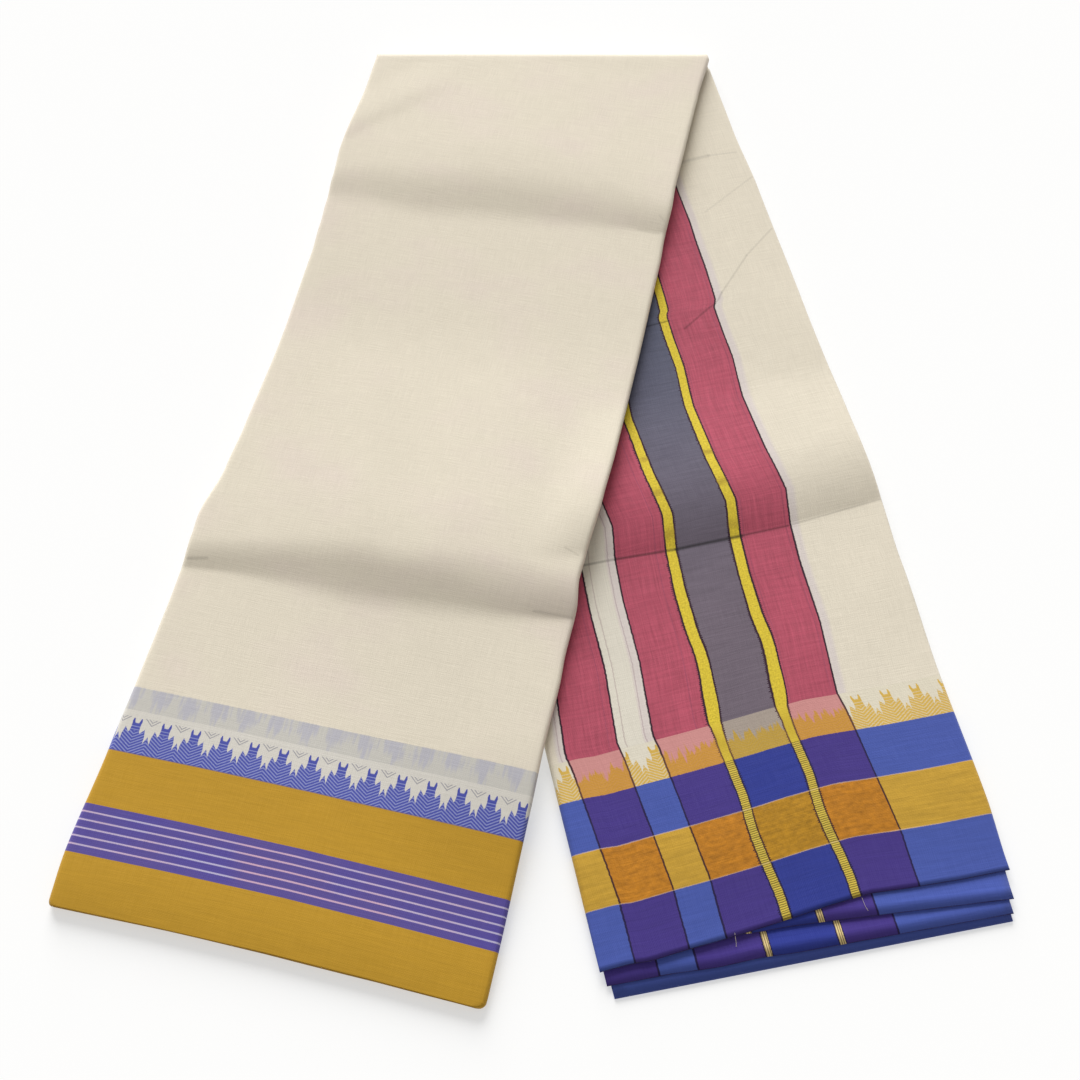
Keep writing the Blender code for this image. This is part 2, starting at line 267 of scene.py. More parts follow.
# Rows bend near a crease, so that its sharp foot lies on an edge of the mesh
def bentShare(leg, share, across):
    bent = share
    for left, middle, right in creaseShares[leg]:
        weight = max(0.0, 1 - abs(share - middle) / strip["creaseBend"])
        bow = middle - (left + right) / 2
        path = left + (right - left) * across + bow * 4 * across * (1 - across)
        bent += weight * (path - middle)
    return bent


# Even rows, and closer ones at each crease
def legShares(leg, spacing):
    count = round(legs[leg]["length"] / spacing)
    shares = {i / count for i in range(count + 1)}
    for _, middle, _ in creaseShares[leg]:
        shares = {share for share in shares if abs(share - middle) > 0.6 / count}
        shares |= {middle + step for step in (-0.003, -0.0012, 0.0, 0.0012, 0.003)}
    return sorted(shares)


# The ends aren't quite straight. Each row is a distance from the left corner and how far the end bows towards
# the turn there, in millimetres
endBows = {
    "front": ((0, 0.0), (60, 1.4), (120, 2.0), (180, 1.2), (238, 0.0)),
    "back": ((0, 0.0), (18, 0.3), (27, -0.8), (36, -0.2), (50, 0.4), (70, 1.0), (100, 2.6), (125, 4.6),
             (150, 5.6), (172, 3.4), (200, 1.2), (227, 0.0)),
}
bowFade = 0.30


def endFrame(leg):
    left, right = corners[leg][:2]
    along = (right - left).normalized()
    return left, along, Vector((-along.y, along.x))


# One at a leg's very end, fading to nothing
def nearEnd(leg, place):
    return 1 - ease(place * legs[leg]["length"] / strip["endFade"])


# Distance along the end line and up from it
def fromEnd(leg, point):
    left, along, up = endFrame(leg)
    return (point - left).dot(along), (point - left).dot(up)


def bowed(leg, point, share=1.0):
    left, along, up = endFrame(leg)
    across, away = fromEnd(leg, point)
    bow = between(endBows[leg], across * 1000) / 1000
    return point + up * bow * share * (1 - ease(away / bowFade))


# Slow unevenness of the pressed cloth
def ripple(x, y, size, seed):
    slow = noise.noise(Vector((x / 0.085, y / 0.11, seed)))
    quick = noise.noise(Vector((x / 0.03, y / 0.045, seed + 7.3)))
    return size * (slow + 0.35 * quick)


# A point of the strip. Depth is measured in from its outer face, which is the front leg's top, goes round the
# turn and is the back leg's underside. Fall is how far an edge is turned down, and reach how far an end
# stands out.
def stripSpot(zone, place, across, depth, fall=0.0, reach=0.0, rippled=0.0, bow=1.0):
    if zone == "turn":
        left, right = edgesOf("front", 1.0)
        point = left.lerp(right, across)
        radius = turnRadius - depth - fall
        raised = ridge("front", point.x, point.y) * (1 - depth / strip["stack"]) * (1 + math.cos(place)) / 2
        height = turnRadius + radius * math.cos(place) + raised
        return Vector((point.x, point.y + radius * math.sin(place), height))
    bent = bentShare(zone, place, across)
    left, right = edgesOf(zone, bent)
    point = bowed(zone, left.lerp(right, across), bow)
    if reach:
        up = endFrame(zone)[2]
        point -= up * reach * nearEnd(zone, place)
    inner = depth / strip["stack"]
    if zone == "front":
        along = place * legs["front"]["length"]
        droop = strip["droop"] * (1 - min(along / strip["droopReach"], 1)) ** 2
        height = floorUnder(point.x, point.y) + strip["stack"] - depth - fall
        height += ridge("front", point.x, point.y) * (1 - inner) - droop * (1 - inner)
        height += ripple(point.x, point.y, rippled, 1.7)
    else:
        height = (depth + fall) * (1 - strip["settled"] * nearEnd("back", place))
        height += ridge("back", point.x, point.y) * inner**2
        height += ripple(point.x, point.y, rippled, 4.1) * ease(inner)
    return Vector((point.x, point.y, height))


# Columns across the strip: distance from the left edge and fall, rounded at both edges
def columnsOf(width, lips, inner, radius):
    tuck, steps = 0.00015, 4
    turned = []
    for lip in lips:
        small = min(radius, lip)
        edge = [(tuck, lip)]
        for step in range(steps + 1):
            angle = math.radians(90 * step / steps)
            edge.append((small * (1 - math.cos(angle)), small * (1 - math.sin(angle))))
        turned.append(edge)
    middle = [(width * (i + 1) / (inner + 1), 0.0) for i in range(inner)]
    return turned[0] + middle + [(width - inward, fall) for inward, fall in turned[1][::-1]]


# Where the outer dark line of the stripes runs, from the turn's middle, in millimetres, from the end up
guideLine = (
    (199.6, -587.7),
    (192.6, -557.9),
    (184.0, -532.8),
    (175.4, -506.9),
    (168.9, -487.6),
    (164.8, -478.0),
    (162.6, -462.0),
    (158.9, -434.3),
    (150.4, -395.8),
    (146.5, -370.6),
    (145.1, -348.8),
    (134.9, -321.0),
    (123.5, -281.4),
    (119.0, -251.3),
    (114.4, -234.3),
    (109.3, -213.0),
    (110.6, -208.3),
    (109.0, -199.3),
    (105.0, -180.3),
    (100.0, -160.3),
    (97.0, -145.3),
    (89.0, -114.3),
    (62.0, -10.0),
)
bandTilt = math.radians(13.3)


def alongBand(x, y):
    return x * math.cos(bandTilt) + y * math.sin(bandTilt)


def acrossBand(x, y):
    return y * math.cos(bandTilt) - x * math.sin(bandTilt)


guideRows = sorted((acrossBand(x, y), alongBand(x, y)) for x, y in guideLine)


# Cloth coordinates in metres: along the bands, and away from the selvedge. On the back leg the second one is
# below zero, which tells the two borders apart
def clothSpot(leg, point, extra=0.0):
    along, away = fromEnd(leg, point)
    bow = between(endBows[leg], along * 1000) / 1000
    away += extra - bow * (1 - ease(away / bowFade))
    if leg == "front":
        return along, away
    millimetres = point * 1000
    guide = between(guideRows, acrossBand(millimetres.x, millimetres.y)) / 1000
    return alongBand(point.x, point.y) - guide, -away


# The same for a point of a row of the strip. The back border's stay clear of zero
def clothPlace(side, row, across, out):
    zone, place = row
    left, right = edgesOf(side, 1.0 if zone == "turn" else bentShare(zone, place, across))
    point = left.lerp(right, across)
    extra = 0.0
    if zone == "turn":
        extra = turnRadius * (place if side == "front" else math.pi - place)
    else:
        point = bowed(zone, point)
    along, away = clothSpot(side, point, extra)
    return along + out, away if side == "front" else min(away, -0.0004)


def startPiece():
    bm = bmesh.new()
    bm.loops.layers.uv.new("cloth")
    return bm


# One layer as a grid, with its cloth coordinates moved aside if asked
def addLayer(bm, rows, columnsAt, spotAt, aside=0.0):
    columns = [columnsAt(row) for row in rows]
    count, last = len(columns[0]) - 1, len(rows) - 1
    made = bmesh.ops.create_grid(bm, x_segments=count, y_segments=last, size=0.5)
    uvs = bm.loops.layers.uv.verify()
    cells = {vert: (round((vert.co.x + 0.5) * count), round((vert.co.y + 0.5) * last))
             for vert in made["verts"]}
    shift = Vector((*strip["shift"], 0))
    for vert, (i, j) in cells.items():
        vert.co = spotAt(rows[j], *columns[j][i]) + shift
    for face in {face for vert in made["verts"] for face in vert.link_faces}:
        zone, place = rows[min(cells[loop.vert][1] for loop in face.loops)]
        side = "back" if zone == "back" or (zone == "turn" and place > math.pi / 2 - 0.01) else "front"
        for loop in face.loops:
            i, j = cells[loop.vert]
            across, fall = columns[j][i]
            out = abs(fall) * (1 if i > count / 2 else -1)
            along, away = clothPlace(side, rows[j], across, out)
            loop[uvs].uv = (along + aside, away)


def linked(name, data):
    thing = bpy.data.objects.new(name, data)
    bpy.context.scene.collection.objects.link(thing)
    return thing


def finishPiece(name, bm, thickness, material):
    mesh = bpy.data.meshes.new(name)
    bm.to_mesh(mesh)
    bm.free()
    mesh.shade_smooth()
    mesh.materials.append(material)
    piece = linked(name, mesh)
    wall = piece.modifiers.new("clothWall", "SOLIDIFY")
    wall.thickness = thickness
    wall.offset = -1
    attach(piece, "root")
    return piece


def frontRows(spacing):
    shares = {0.0005, 0.0013, 0.0028, 0.0045, *legShares("front", spacing)}
    return [("front", share) for share in sorted(shares) if share < 0.999]


def turnRows(count):
    return [("turn", math.pi * i / count) for i in range(count + 1)]


def backRows(spacing):
    return [("back", share) for share in reversed(legShares("back", spacing)) if share < 0.999]


# Node helpers
def feed(tree, socket, value):
    if isinstance(value, bpy.types.NodeSocket):
        tree.links.new(value, socket)
    else:
        socket.default_value = value


def addNode(tree, kind, **settings):
    node = tree.nodes.new(kind)
    for name, value in settings.items():
        setattr(node, name, value)
    return node


def calc(tree, operation, *values):
    node = addNode(tree, "ShaderNodeMath", operation=operation)
    for socket, value in zip(node.inputs, values):
        feed(tree, socket, value)
    return node.outputs[0]


def plus(tree, *values):
    total = values[0]
    for value in values[1:]:
        total = calc(tree, "ADD", total, value)
    return total


def minus(tree, first, second):
    return calc(tree, "SUBTRACT", first, second)


def inverse(tree, value):
    return minus(tree, 1.0, value)


def times(tree, *values):
    total = values[0]
    for value in values[1:]:
        total = calc(tree, "MULTIPLY", total, value)
    return total


# How far a value is from a half, times the others
def swing(tree, value, *amounts):
    return times(tree, minus(tree, value, 0.5), *amounts)


def largest(tree, *values):
    total = values[0]
    for value in values[1:]:
        total = calc(tree, "MAXIMUM", total, value)
    return total


def size(tree, value):
    return calc(tree, "ABSOLUTE", value)


def remap(tree, value, fromLow, fromHigh, toLow=0.0, toHigh=1.0, smooth=True):
    node = addNode(tree, "ShaderNodeMapRange", interpolation_type="SMOOTHSTEP" if smooth else "LINEAR")
    for socket, given in zip(node.inputs, (value, fromLow, fromHigh, toLow, toHigh)):
        feed(tree, socket, given)
    return node.outputs[0]


# One up to the first edge, nothing from the second one on
def falling(tree, value, low, high):
    return remap(tree, value, low, high, 1.0, 0.0)


# One above the edge, nothing below
def past(tree, value, edge, soft=0.0002):
    return remap(tree, value, edge - soft, edge + soft)


# One below the edge, nothing above
def under(tree, value, edge, soft=0.0002):
    return falling(tree, value, edge - soft, edge + soft)


# One between low and high, nothing outside
def within(tree, value, low, high, soft=0.0002):
    return times(tree, past(tree, value, low, soft), under(tree, value, high, soft))


# Place within a repeat, from minus a half to a half
def turnOf(tree, value, pitch):
    return minus(tree, calc(tree, "FRACT", plus(tree, calc(tree, "DIVIDE", value, pitch), 0.5)), 0.5)


def mixColour(tree, factor, first, second, kind="MIX"):
    node = addNode(tree, "ShaderNodeMix", data_type="RGBA", blend_type=kind)
    feed(tree, node.inputs[0], factor)
    feed(tree, node.inputs[6], first)
    feed(tree, node.inputs[7], second)
    return node.outputs[2]


# Linear colour of three levels from 0 to 255
def colour(*levels):
    shares = [level / 255 for level in levels]
    linear = [share / 12.92 if share <= 0.04 else ((share + 0.055) / 1.055) ** 2.4 for share in shares]
    return (*linear, 1.0)


# Colours laid one above the other from each row's start on
def layColours(tree, value, first, rows, soft=0.0002):
    base = first
    for start, shade in rows:
        base = mixColour(tree, past(tree, value, start, soft), base, shade)
    return base


# The colour times a value
def toned(tree, base, tone):
    grey = addNode(tree, "ShaderNodeCombineColor")
    for socket in grey.inputs[:3]:
        feed(tree, socket, tone)
    return mixColour(tree, 1.0, base, grey.outputs[0], "MULTIPLY")


def combine(tree, x, y):
    node = addNode(tree, "ShaderNodeCombineXYZ")
    feed(tree, node.inputs[0], x)
    feed(tree, node.inputs[1], y)
    return node.outputs[0]


def stretchedNoise(tree, vector, perMetre, detail=2.0, roughness=0.5):
    scaled = addNode(tree, "ShaderNodeVectorMath", operation="MULTIPLY")
    feed(tree, scaled.inputs[0], vector)
    scaled.inputs[1].default_value = perMetre
    node = addNode(tree, "ShaderNodeTexNoise", noise_dimensions="3D")
    feed(tree, node.inputs["Vector"], scaled.outputs[0])
    node.inputs["Scale"].default_value = 1.0
    node.inputs["Detail"].default_value = detail
    node.inputs["Roughness"].default_value = roughness
    return node.outputs[0]


# A node group. An input without a value is a vector, and every output is a number
def newGroup(name, inputs, outputs):
    tree = bpy.data.node_groups.new(name, "ShaderNodeTree")
    for label, value in inputs.items():
        kind = "NodeSocketVector" if value is None else "NodeSocketFloat"
        socket = tree.interface.new_socket(label, in_out="INPUT", socket_type=kind)
        if value is not None:
            socket.default_value = value
    for label in outputs:
        tree.interface.new_socket(label, in_out="OUTPUT", socket_type="NodeSocketFloat")
    return tree, addNode(tree, "NodeGroupInput").outputs, addNode(tree, "NodeGroupOutput").inputs


def useGroup(tree, group, **values):
    node = addNode(tree, "ShaderNodeGroup", node_tree=group)
    for label, value in values.items():
        feed(tree, node.inputs[label], value)
    return node.outputs


threadPitch = 0.00042


# Plain weave: thread crowns as a height, then fine threads, thicker slubs, slow patches and brushed streaks
# along the bands, each around a half
def makeWeave():
    outputs = ("Height", "Shade", "Slub", "Slow", "Streak")
    tree, given, gives = newGroup("plainWeave", {"Cloth": None}, outputs)
    cloth = given["Cloth"]
    split = addNode(tree, "ShaderNodeSeparateXYZ")
    feed(tree, split.inputs[0], cloth)
    waves = []
    for axis in (0, 1):
        turns = calc(tree, "DIVIDE", times(tree, split.outputs[axis], math.pi), threadPitch)
        waves.append(calc(tree, "SINE", turns))
    crowns = times(tree, *waves, 0.35)
    fine = [stretchedNoise(tree, cloth, scale, 1.0) for scale in ((1400, 60, 1), (60, 1400, 1))]
    thick = [stretchedNoise(tree, cloth, scale, 2.0, 0.6) for scale in ((420, 28, 1), (34, 520, 1))]
    threads = times(tree, plus(tree, *fine), 0.5)
    feed(tree, gives["Height"], plus(tree, crowns, threads))
    feed(tree, gives["Shade"], threads)
    feed(tree, gives["Slub"], times(tree, plus(tree, *thick), 0.5))
    feed(tree, gives["Slow"], stretchedNoise(tree, cloth, (14, 20, 1), 3.0))
    feed(tree, gives["Streak"], stretchedNoise(tree, cloth, (38, 430, 1), 1.5, 0.5))
    return tree


weave = makeWeave()

# The temple border's repeat, charted in millimetres: height above its foot, and half width of the tower
# there
templeChart = (
    (0.0, 8.6),
    (5.2, 8.6),
    (5.9, 6.7),
    (9.5, 6.5),
    (11.2, 6.3),
    (11.7, 3.4),
    (12.5, 2.8),
    (15.5, 2.5),
    (17.4, 2.6),
    (18.6, 2.8),
    (20.4, 2.4),
    (20.6, 0.0),
)
templeSizes = {
    "pitch": 0.0170,
    "top": 25.0,
    "widest": 10.0,
    "crown": 20.3,
    "notch": (17.6, 1.1, 0.28),  # foot of the crown's notch, half width there and widening
    "spike": (5.6, 14.7, 0.80, 0.22),  # distance out and tip of a side spike, its inner and outer taper
    "spire": (10.9, 0.41),  # tip and taper of the small spire between two towers
    "chevron": (1.85, 0.66),  # pitch and slope of the woven chevrons
    "rung": (1.75, 13.8),
    "mark": (1.8, 0.85, 17.3),  # pitch, slope and start of the faint marks between crowns
}


# A short table of a value, straight from row to row
def tableValue(tree, value, rows, top, scale):
    node = addNode(tree, "ShaderNodeValToRGB")
    ramp = node.color_ramp
    for i, (start, amount) in enumerate(rows):
        spot = start / top
        element = ramp.elements[i] if i < 2 else ramp.elements.new(spot)
        element.position = spot
        element.color = (amount / scale, amount / scale, amount / scale, 1.0)
    feed(tree, node.inputs[0], remap(tree, value, 0.0, top, smooth=False))
    return times(tree, node.outputs[0], scale)


def makeTemple():
    tree, given, gives = newGroup(
        "templeBorder",
        {"Along": 0.0, "Height": 0.0},
        ("Body", "Lines", "Between", "Blocks", "Ragged"),
    )
    sizes = templeSizes
    half = sizes["pitch"] * 500
    out = size(tree, times(tree, turnOf(tree, given["Along"], sizes["pitch"]), sizes["pitch"] * 1000))
    inward = minus(tree, half, out)
    height = times(tree, given["Height"], 1000)
    halfWidth = tableValue(tree, height, templeChart, sizes["top"], sizes["widest"])
    tower = remap(tree, minus(tree, halfWidth, out), -0.15, 0.15)
    foot, wide, taper = sizes["notch"]
    notch = minus(tree, plus(tree, times(tree, minus(tree, height, foot), taper), wide), out)
    notch = times(tree, remap(tree, notch, -0.2, 0.2), past(tree, height, foot, 0.3))
    tower = times(tree, tower, inverse(tree, notch))
    spot, tip, inner, outer = sizes["spike"]
    below = minus(tree, tip, height)
    spike = calc(tree, "MINIMUM", plus(tree, minus(tree, out, spot), times(tree, below, inner)),
                 plus(tree, minus(tree, spot, out), times(tree, below, outer)))
    spike = remap(tree, spike, -0.1, 0.2)
    spike = times(tree, spike, past(tree, height, 9.0, 0.2), under(tree, out, 6.6, 0.1))
    tip, taper = sizes["spire"]
    spire = remap(tree, minus(tree, times(tree, minus(tree, tip, height), taper), inward), -0.1, 0.2)
    body = times(tree, largest(tree, tower, spike, spire), within(tree, height, 0.0, sizes["crown"], 0.1))
    feed(tree, gives["Body"], body)
    # chevrons that point down at a tower and up at a spire, and rungs near the crown
    pitch, slope = sizes["chevron"]
    chevron = size(tree, turnOf(tree, minus(tree, height, times(tree, out, slope)), pitch))
    chevron = falling(tree, chevron, 0.12, 0.30)
    pitch, start = sizes["rung"]
    rung = falling(tree, size(tree, turnOf(tree, minus(tree, height, start), pitch)), 0.09, 0.2)
    rung = times(tree, rung, under(tree, height, 17.0, 0.2))
    high = past(tree, height, 13.0, 0.3)
    chevron = times(tree, chevron, inverse(tree, high))
    feed(tree, gives["Lines"], plus(tree, chevron, times(tree, rung, high)))
    # faint nested marks between the crowns
    pitch, slope, start = sizes["mark"]
    raised = minus(tree, minus(tree, height, times(tree, inward, slope)), start)
    marks = falling(tree, size(tree, turnOf(tree, raised, pitch)), 0.10, 0.28)
    marks = times(tree, marks, past(tree, raised, -0.6, 0.1), under(tree, inward, 5.0, 0.2))
    marks = times(tree, marks, under(tree, height, 20.9, 0.2))
    feed(tree, gives["Between"], marks)
    # soft ragged blocks between the spires, further up
    wide = remap(tree, height, 26.0, 32.5, -0.5, 5.2, smooth=False)
    ragged = stretchedNoise(tree, combine(tree, given["Along"], given["Height"]), (420, 60, 1), 2.0)
    blocks = plus(tree, minus(tree, wide, inward), swing(tree, ragged, 24.0))
    feed(tree, gives["Blocks"], remap(tree, blocks, -3.5, 3.5))
    streaks = minus(tree, plus(tree, 12.5, swing(tree, ragged, 26.0)), height)
    feed(tree, gives["Ragged"], remap(tree, streaks, -1.5, 1.5))
    return tree


temple = makeTemple()

# Stripes of the back leg in metres from the outer dark line
stripes = {
    "Lilac": ((-0.1625, -0.1575), (-0.1135, -0.1075), (0.0, 0.0050)),
    "Cream": ((-0.1280, -0.1135),),
    "Pink": ((-0.1575, -0.1280), (-0.1075, -0.0770), (-0.0312, 0.0)),
    "Grey": ((-0.0703, -0.0378),),
    "Yellow": ((-0.0770, -0.0703), (-0.0378, -0.0310)),
}
darkLines = {
    "spots": (-0.1575, -0.1280, -0.1075, 0.0),
    "toothed": ((-0.0770, -1), (-0.0703, 1), (-0.0378, -1), (-0.0310, 1)),  # and which way the teeth point
    "half": 0.00052,
    "tooth": 0.0011,
    "toothPitch": 0.00125,
    "thin": (-0.1325, -0.1120, -0.0830, -0.0285, -0.0030, -0.1235, -0.1605),
    "thinHalf": 0.00028,
}


def makeStripes():
    tree, given, gives = newGroup(
        "stripeMasks",
        {"Across": 0.0, "Up": 0.0, "Ragged": 0.5},
        (*stripes, "Line", "Thin"),
    )
    across = given["Across"]
    for kind, spans in stripes.items():
        soft = 0.0016 if kind == "Lilac" else 0.0002
        parts = [within(tree, across, low, high, soft) for low, high in spans]
        feed(tree, gives[kind], largest(tree, *parts))
    half = darkLines["half"]
    lines = [under(tree, size(tree, minus(tree, across, spot)), half) for spot in darkLines["spots"]]
    # short teeth on the lines beside the yellow
    teeth = falling(tree, size(tree, turnOf(tree, given["Up"], darkLines["toothPitch"])), 0.12, 0.3)
    reach = remap(tree, given["Ragged"], 0.42, 0.62, 0.0, darkLines["tooth"], smooth=False)
    teeth = times(tree, teeth, reach)
    for spot, outward in darkLines["toothed"]:
        away = times(tree, minus(tree, across, spot), outward)
        toothed = under(tree, minus(tree, away, teeth), half)
        lines.append(times(tree, past(tree, away, -half), toothed))
    feed(tree, gives["Line"], largest(tree, *lines))
    thin = [falling(tree, size(tree, minus(tree, across, spot)), 0.0, darkLines["thinHalf"] * 2)
            for spot in darkLines["thin"]]
    feed(tree, gives["Thin"], largest(tree, *thin))
    return tree


stripeMasks = makeStripes()


# Painted shade of a fold: a dark thin line from one cloth point to another, fading at its sides
def makePaintedFoldShade():
    tree, given, gives = newGroup(
        "paintedFoldShade",
        {"Cloth": None, "Start": None, "End": None, "Width": 0.001},
        ("Mark",),
    )

    def vectors(operation, *values):
        node = addNode(tree, "ShaderNodeVectorMath", operation=operation)
        for socket, value in zip(node.inputs, values):
            feed(tree, socket, value)
        return node.outputs

    fromStart = vectors("SUBTRACT", given["Cloth"], given["Start"])[0]
    way = vectors("SUBTRACT", given["End"], given["Start"])[0]
    dots = [vectors("DOT_PRODUCT", first, way)["Value"] for first in (fromStart, way)]
    held = remap(tree, calc(tree, "DIVIDE", *dots), 0.0, 1.0, smooth=False)
    nearest = addNode(tree, "ShaderNodeVectorMath", operation="SCALE")
    feed(tree, nearest.inputs[0], way)
    feed(tree, nearest.inputs["Scale"], held)
    offLine = vectors("LENGTH", vectors("SUBTRACT", fromStart, nearest.outputs[0])[0])["Value"]
    feed(tree, gives["Mark"], falling(tree, calc(tree, "DIVIDE", offLine, given["Width"]), 0.0, 1.0))
    return tree


paintedFoldShade = makePaintedFoldShade()
print("node groups made")

# Colours as they look in daylight, 0 to 255: each stripe in each band of the back border. Base is plain cloth
bandShades = {
    "plain": {
        "Base": (225, 217, 200), "Lilac": (215, 206, 202), "Cream": (222, 217, 204), "Pink": (177, 79, 100),
        "Grey": (110, 99, 112), "Yellow": (216, 193, 54), "Line": (46, 16, 38),
    },
    "blue": {
        "Base": (70, 89, 171), "Pink": (67, 51, 134), "Grey": (44, 57, 146), "Yellow": (214, 190, 74),
        "Line": (32, 22, 70),
    },
    "gold": {
        "Base": (197, 156, 54), "Pink": (187, 122, 28), "Grey": (177, 129, 28), "Yellow": (212, 188, 74),
        "Line": (72, 40, 36),
    },
    "pale": {
        "Base": (222, 215, 196), "Cream": (222, 216, 200), "Pink": (204, 142, 140), "Grey": (166, 154, 144),
        "Yellow": (222, 198, 60), "Line": (66, 32, 44),
    },
    "spires": {
        "Base": (212, 175, 80), "Pink": (200, 146, 58), "Grey": (188, 154, 62), "Yellow": (214, 190, 58),
        "Line": (98, 62, 50),
    },
}
borderBands = {"blue": 0.0313, "gold": 0.0620, "blueAgain": 0.0910, "temple": 0.1137, "templeAt": 0.0082}


def startMaterial(name, roughness, sheen):
    material = bpy.data.materials.new(name)
    material.use_nodes = True
    tree = material.node_tree
    surface = tree.nodes["Principled BSDF"].inputs
    surface["Roughness"].default_value = roughness
    surface["Specular IOR Level"].default_value = 0.25
    surface["Sheen Weight"].default_value = sheen
    surface["Sheen Roughness"].default_value = 0.5
    cloth = addNode(tree, "ShaderNodeUVMap", uv_map="cloth").outputs[0]
    split = addNode(tree, "ShaderNodeSeparateXYZ")
    feed(tree, split.inputs[0], cloth)
    return material, tree, surface, cloth, split.outputs[0], split.outputs[1]


def bumpFrom(tree, surface, height, distance, strength=0.6):
    bump = addNode(tree, "ShaderNodeBump")
    bump.inputs["Distance"].default_value = distance
    bump.inputs["Strength"].default_value = strength
    feed(tree, bump.inputs["Height"], height)
    feed(tree, surface["Normal"], bump.outputs[0])


# The back border's bands over plain cloth or, with masks, over the stripes
def borderColour(tree, along, up, masks=None):
    temples = useGroup(tree, temple, Along=minus(tree, along, borderBands["templeAt"]),
                       Height=minus(tree, up, borderBands["blueAgain"]))

    def rowOf(band):
        shades = bandShades[band]
        row = colour(*shades["Base"])
        for kind in (*stripes, "Line") if masks else ():
            if kind in shades:
                row = mixColour(tree, masks[kind], row, colour(*shades[kind]))
        return row

    pale, spires = rowOf("pale"), rowOf("spires")
    body, lines = temples["Body"], times(tree, temples["Lines"], 0.5)
    if masks:
        dyed = largest(tree, masks["Pink"], masks["Grey"])
        body = plus(tree, times(tree, body, inverse(tree, dyed)), times(tree, temples["Ragged"], dyed))
        lines = times(tree, lines, inverse(tree, times(tree, dyed, 0.8)))
    templeRow = mixColour(tree, body, pale, mixColour(tree, lines, spires, pale))
    base = layColours(tree, up, rowOf("blue"), (
        (borderBands["blue"], rowOf("gold")),
        (borderBands["gold"], rowOf("blue")),
        (borderBands["blueAgain"], templeRow),
        (borderBands["temple"], rowOf("plain")),
    ))
    # a pale thread along the gold
    starts = (borderBands["blue"], borderBands["gold"])
    edges = [within(tree, up, start - 0.0002, start + 0.0003) for start in starts]
    return mixColour(tree, times(tree, largest(tree, *edges), 0.4), base, colour(226, 200, 168))


# Uneven dye and brushed threads of the back border's bands, as a tone around one
def borderTone(tree, up, streak, mottle):
    inGold = within(tree, up, borderBands["blue"], borderBands["gold"])
    inBorder = under(tree, up, borderBands["blueAgain"])
    brushed = swing(tree, streak, plus(tree, times(tree, inBorder, 0.24), times(tree, inGold, 0.26)))
    flecks = swing(tree, mottle, inGold, 0.95)
    return plus(tree, 1.0, brushed, flecks)


frontBands = {"goldLow": 0.0293, "purple": 0.0567, "goldHigh": 0.0884, "temple": 0.1130, "ghost": 0.1265,
              "lines": 0.00457, "lineHalf": 0.00045, "phase": 0.0118}
frontShades = {
    "ivory": (225, 217, 200),
    "blush": (222, 210, 199),
    "gold": (189, 146, 41),
    "purple": (92, 80, 150),
    "bluer": (72, 66, 162),
    "pinkLine": (204, 170, 194),
    "blueLine": (184, 178, 210),
    "templeGround": (212, 209, 202),
    "ghostGround": (199, 197, 191),
    "foot": (88, 74, 118),
    "tower": (72, 80, 168),
    "towerLine": (152, 160, 208),
    "mark": (132, 132, 146),
    "block": (180, 180, 193),
}


# Cloth coordinates of a point on a leg, given in millimetres from the turn's middle
def clothVector(leg, x, y):
    return (*clothSpot(leg, Vector((x, y)) / 1000), 0.0)


# Painted shade along small folds and at the creases' feet, from one point to another with width and darkness,
# on the front leg, on the back leg and, as wider patches, on its yellow stripes
paintedFrontFoldShade = (
    ((-209, -394), (-198, -394), 1.8, 0.20),
    ((-6, -431), (16, -435), 1.4, 0.16),
    ((12, -393), (19.6, -397.5), 1.0, 0.14),
    ((62, -157), (75, -160), 1.8, 0.10),
    ((76, -147), (79, -151), 1.2, 0.10),
)
paintedBackFoldShade = (
    ((93, -94), (112, -88), 2.4, 0.17),
    ((112, -88), (131, -85), 1.2, 0.11),
    ((108, -136), (141, -106), 1.2, 0.10),
    ((151, -150), (133, -172), 1.2, 0.14),
    ((133, -172), (115, -202), 1.2, 0.16),
    ((115, -202), (110, -211), 1.2, 0.24),
    ((110, -211), (90, -230), 1.3, 0.34),
    ((80, -224), (64, -229), 1.2, 0.50),
    ((23, -398), (42, -394), 1.4, 0.36),
    ((42, -394), (78, -387.5), 1.6, 0.62),
    ((78, -387.5), (117, -378.5), 2.0, 0.78),
    ((117, -378.5), (145, -371.8), 1.3, 0.50),
    ((145, -371.8), (204, -353), 1.0, 0.20),
)
# painted shade patches of the folds across the yellow stripes
paintedYellowFoldShade = (
    ((98, -323), (103, -322), 3.2, 0.55),
    ((103, -345), (109, -343), 4.5, 0.5),
    ((60, -328), (65, -327), 3.2, 0.5),
    ((67, -352), (73, -350), 4.5, 0.5),
    ((72, -379), (78, -377), 6.0, 0.45),
    ((109, -372), (115, -371), 5.0, 0.35),
)


# One painted fold shade line as a darkness: its ends in millimetres from the turn's middle, its width and
# darkness
def paintedShadeOn(tree, cloth, leg, row):
    start, stop, width, dark = row
    points = {"Start": clothVector(leg, *start), "End": clothVector(leg, *stop)}
    mark = useGroup(tree, paintedFoldShade, Cloth=cloth, Width=width / 1000, **points)
    return times(tree, mark["Mark"], dark)


